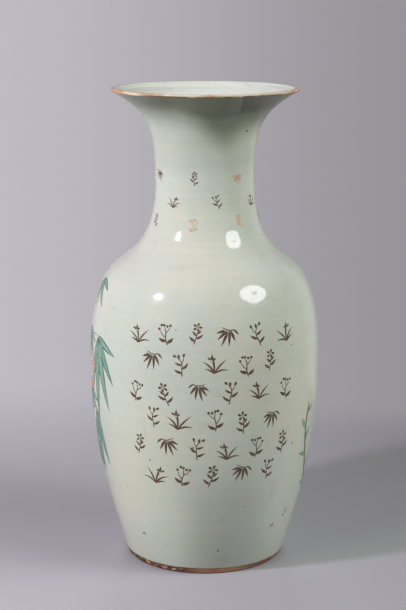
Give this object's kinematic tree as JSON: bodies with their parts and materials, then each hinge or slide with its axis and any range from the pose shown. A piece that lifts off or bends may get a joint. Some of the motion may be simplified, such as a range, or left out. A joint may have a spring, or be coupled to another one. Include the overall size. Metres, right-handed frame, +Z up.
{
  "type": "baluster vase",
  "caption": "Tall glazed porcelain baluster vase with a trumpet mouth, waisted neck, high round shoulders and a bare turned foot ring, for flowers or display.",
  "frame": {"origin": "centre of the foot ring's resting plane", "axes": "+Z up along the vase's axis of turning; -Y is the front face that the picture shows"},
  "size_m": [0.2824, 0.2824, 0.58],
  "materials": {
    "glaze": "glossy pale celadon-white porcelain glaze",
    "bare_porcelain": "bare fired porcelain, burnt orange brown",
    "slip": "porcelain slip under the glaze",
    "iron_dressing": "iron-brown dressing, satin"
  },
  "bodies": {
    "root": {"foot_ring": "bare_porcelain", "base_disc": "glaze", "lower_belly": "glaze", "belly_slip_joint": "slip", "upper_belly": "glaze", "shoulder_slip_joint": "slip", "neck": "glaze", "mouth_slip_joint": "slip", "mouth": "glaze", "lip_band": "iron_dressing"}
  },
  "joints": []
}
